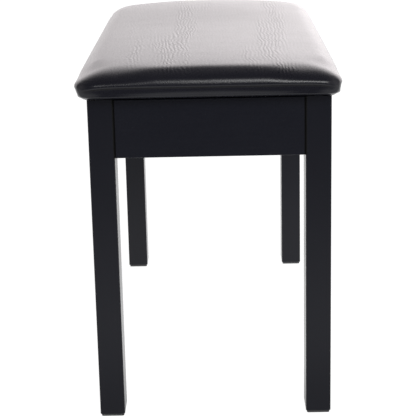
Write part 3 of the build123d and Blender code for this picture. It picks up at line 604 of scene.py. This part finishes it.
depth = node(tree, "ShaderNodeAttribute", {"attribute_name": "fold_depth"}).outputs["Fac"]
# painted shade: the line of the fold is darkened towards black, and its shine is dulled
crease_shade = spread(tree, sums(tree, "ABSOLUTE", gap), 0.0002, 0.0016, 1.0, 0.0, "SMOOTHSTEP")
crease_shade = sums(tree, "MULTIPLY", crease_shade, depth)
relief = None
for height, deep in ((pebbles, 0.00003), (lines, 0.000025), (wrinkles, 0.00052), (hollows, 0.0006)):
    relief = dents(tree, height, deep, under=relief)
black = tones(tree, specks(tree, spot, 12, 3), (0.3, 0.0030, 0.0032, 0.0062), (0.7, 0.0052, 0.0055, 0.0090))
satin = spread(tree, pebbles, 0.1, 0.7, 0.33, 0.27)
wear(tree, shader, blend(tree, sums(tree, "MULTIPLY", crease_shade, 0.7), black, (0.001, 0.001, 0.001, 1)),
     sums(tree, "ADD", satin, sums(tree, "MULTIPLY", crease_shade, 0.5)), relief)
shader.inputs["Specular IOR Level"].default_value = 0.24
cover.data.materials.append(vinyl)
smooth(cover)


# Foam: a slab of open-cell foam on the board, its edge glued down round the board's edge. The vinyl
# squeezes it, so it has the cover's own crown.
board_low, board_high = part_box("lid_board")
foam = inner
foam.name = foam.data.name = "seat_foam"
foam_cells, tree, shader = paint("open_cell_foam")
pores = cells(tree, place(tree), 900)
chalk = specks(tree, place(tree), 30, 3)
wear(tree, shader, tones(tree, weigh(tree, (pores, 0.7), (chalk, 0.3)),
                         (0.15, 0.46, 0.40, 0.28), (0.6, 0.80, 0.74, 0.60)),
     spread(tree, pores, 0.1, 0.7, 0.95, 0.8), dents(tree, pores, 0.0004))
deselect()
bpy.context.view_layer.update()
normals = [v.normal.copy() for v in foam.data.vertices]
for vertex, normal in zip(foam.data.vertices, normals):
    vertex.co -= normal * (SKIN + 0.0002)
# the board's own shape, a little oversize, is cut out of it
RECESS_LONG, RECESS_WIDE, RECESS_CORNER = 0.7362, 0.3302, 0.0110
recess = rounded_lid("recess", RECESS_LONG, RECESS_WIDE, board_low.z - 0.01, board_high.z + 0.0001,
                     RECESS_CORNER, 0, 0, 6)
bpy.ops.object.mode_set(mode="EDIT")
bpy.ops.mesh.select_all(action="SELECT")
bpy.ops.mesh.normals_make_consistent(inside=False)
bpy.ops.object.mode_set(mode="OBJECT")
apply(foam, "BOOLEAN", object=recess, operation="DIFFERENCE", solver="EXACT")
bpy.data.objects.remove(recess)
foam.data.materials.append(foam_cells)
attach(foam, "lid")
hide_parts("foam_pad")
smooth(foam)


# Dust cover: thin black spun-bonded cloth, cut to a rectangle, trimmed round the stay brackets, and
# stapled taut over the cover's raw edge. It steps up onto the board inside that edge.
dust_low, dust_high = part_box("dust_cover")
plate_low, plate_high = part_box("stay_lid_brackets")
CLOTH = 0.0005
STEP = 0.0012
PLATE_LONG, PLATE_GAP = 0.0186, 0.001
deselect()
bpy.ops.mesh.primitive_grid_add(x_subdivisions=124, y_subdivisions=50, size=1)
dust = bpy.context.object
dust.name = "dust_cover_cloth"
dust.data.transform(Matrix.Diagonal((dust_high.x - dust_low.x, dust_high.y - dust_low.y, 1, 1)))
trim_x = plate_high.x - PLATE_LONG
trim_low, trim_high = plate_low.y - PLATE_GAP, plate_high.y + PLATE_GAP
step_x, step_y = RAW_X - STEP, RAW_Y - STEP
for across_x, across_y in (((trim_x, -trim_x), (trim_low, trim_high)), ((step_x, -step_x), (step_y, -step_y))):
    cut(dust, lambda centre, normal: True, across_x, across_y)
remove_faces(dust, lambda centre, normal: abs(centre.x) > trim_x and trim_low < centre.y < trim_high)
for vertex in dust.data.vertices:
    x, y = vertex.co.x, vertex.co.y
    inside_edge = min(RAW_X - abs(x), RAW_Y - abs(y))
    stepped = STEP * ease(inside_edge, 0.0, 0.0011)
    sag = 0.0008 + 0.0007 * noise.noise(Vector((x * 14, y * 22, 1.5)))
    vertex.co.z = UNDERSIDE - CLOTH - 0.00005 + stepped - sag * ease(inside_edge, 0.004, 0.05)
apply(dust, "SOLIDIFY", thickness=CLOTH, offset=1)
spun, tree, shader = paint("spun_bonded_cloth")
dots = spread(tree, cells(tree, place(tree, (1, 1, 0)), 620), 0.12, 0.32)
strands = specks(tree, place(tree, (1, 0.3, 1)), 900, 4, 0.7, 1.5)
wear(tree, shader, tones(tree, weigh(tree, (dots, 0.5), (strands, 0.5)),
                         (0.2, 0.012, 0.012, 0.013), (0.8, 0.045, 0.045, 0.048)),
     spread(tree, dots, 0.0, 1.0, 0.45, 0.9), dents(tree, sums(tree, "ADD", dots, strands), 0.00015))
shader.inputs["Sheen Weight"].default_value = 0.15
dust.data.materials.append(spun)
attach(dust, "lid")
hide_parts("dust_cover")
smooth(dust)
